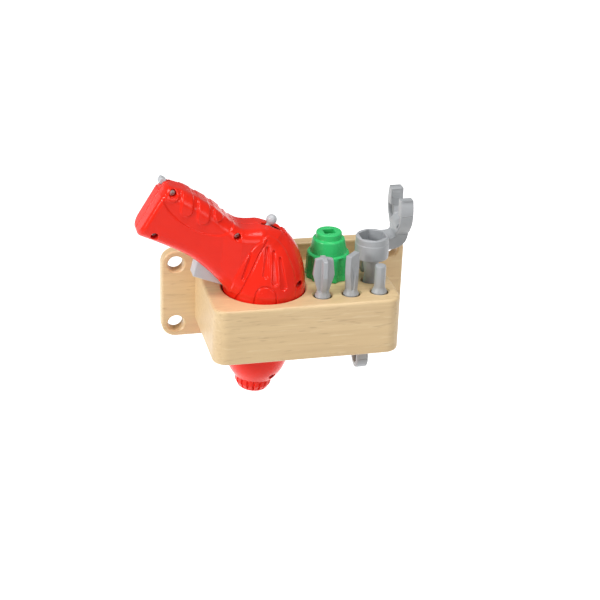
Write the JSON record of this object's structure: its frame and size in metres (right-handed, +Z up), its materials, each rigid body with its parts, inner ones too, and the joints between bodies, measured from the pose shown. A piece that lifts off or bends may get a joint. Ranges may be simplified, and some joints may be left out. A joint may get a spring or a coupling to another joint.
{
  "type": "toy tool holder",
  "caption": "Wooden wall-mounted tool holder from a toy workbench, with a toy power drill standing nose down, bits, a socket, a stepped adapter and a cranked wrench.",
  "frame": {"origin": "centre of the four mounting holes, on the back plate's rear face", "axes": "+X to the right as the user faces the holder, -Y out of the wall towards the user, +Y into the wall, +Z up"},
  "size_m": [0.2557, 0.107, 0.209],
  "materials": {
    "beech": "satin lacquer",
    "red_plastic": "gloss",
    "green_plastic": "gloss",
    "grey_plastic": "satin",
    "tool_grey": "satin",
    "zinc_steel": "zinc plated",
    "motor_can": "plated",
    "white_nylon": "satin",
    "bronze": "sintered",
    "cell_label": "gloss"
  },
  "bodies": {
    "rack": {"back_plate": "beech", "tool_block": "beech", "block_screws": "zinc_steel", "block_dowels": "beech"},
    "drill": {"housing_front": "red_plastic", "housing_rear": "red_plastic", "housing_screws": "zinc_steel", "trigger_pin": "zinc_steel", "trigger_spring": "zinc_steel", "batteries": "cell_label", "battery_contacts": "zinc_steel", "motor": "motor_can", "spindle_bush": "bronze"},
    "trigger": {"trigger": "grey_plastic"},
    "gear_lever": {"gear_lever": "grey_plastic"},
    "lock_button": {"lock_button": "grey_plastic"},
    "battery_door": {"battery_door": "red_plastic"},
    "chuck": {"chuck": "red_plastic", "spindle": "zinc_steel", "drive_gear": "white_nylon"},
    "motor_pinion": {"motor_pinion": "white_nylon"},
    "cross_bit": {"cross_bit": "tool_grey"},
    "flat_bit": {"flat_bit": "tool_grey"},
    "pin_bit": {"pin_bit": "tool_grey"},
    "hex_socket": {"hex_socket": "tool_grey"},
    "green_adapter": {"green_adapter": "green_plastic"},
    "wrench": {"wrench": "tool_grey"}
  },
  "joints": [
    {"name": "drill_lift", "type": "slide", "parent": "rack", "child": "drill", "axis": [0.0872, 0, 0.9962], "range_m": [0, 0.115]},
    {"name": "trigger_pull", "type": "hinge", "parent": "drill", "child": "trigger", "pos_m": [-0.06061, -0.0594, 0.03825], "axis": [0, 1, 0], "range_deg": [0, 8.5], "stiffness_Nm_per_rad": 0.12, "springref_deg": -6.88},
    {"name": "gear_select", "type": "slide", "parent": "drill", "child": "gear_lever", "axis": [0.866, 0, -0.5], "range_m": [-0.0035, 0.01]},
    {"name": "lock_press", "type": "slide", "parent": "drill", "child": "lock_button", "axis": [0.8746, 0, -0.4848], "range_m": [0, 0.0015], "stiffness_N_per_m": 300, "springref_m": -0.001},
    {"name": "door_off", "type": "slide", "parent": "drill", "child": "battery_door", "axis": [0, 1, 0], "range_m": [0, 0.02]},
    {"name": "chuck_spin", "type": "hinge", "parent": "drill", "child": "chuck", "pos_m": [-0.03483, -0.0594, -0.03427], "axis": [0.0872, 0, 0.9962], "continuous": true},
    {"name": "pinion_spin", "type": "hinge", "parent": "drill", "child": "motor_pinion", "pos_m": [-0.04902, -0.0594, -0.01295], "axis": [0.0872, 0, 0.9962], "continuous": true},
    {"name": "cross_bit_lift", "type": "slide", "parent": "rack", "child": "cross_bit", "axis": [0, 0, 1], "range_m": [0, 0.032]},
    {"name": "flat_bit_lift", "type": "slide", "parent": "rack", "child": "flat_bit", "axis": [0, 0, 1], "range_m": [0, 0.032]},
    {"name": "pin_bit_lift", "type": "slide", "parent": "rack", "child": "pin_bit", "axis": [0, 0, 1], "range_m": [0, 0.032]},
    {"name": "socket_lift", "type": "slide", "parent": "rack", "child": "hex_socket", "axis": [0, 0, 1], "range_m": [0, 0.032]},
    {"name": "adapter_lift", "type": "slide", "parent": "rack", "child": "green_adapter", "axis": [0, 0, 1], "range_m": [0, 0.032]},
    {"name": "wrench_lift", "type": "slide", "parent": "rack", "child": "wrench", "axis": [0, 0, 1], "range_m": [0, 0.105]}
  ],
  "couplings": [
    {"joint": "pinion_spin", "follows": "chuck_spin", "ratio": -3}
  ]
}
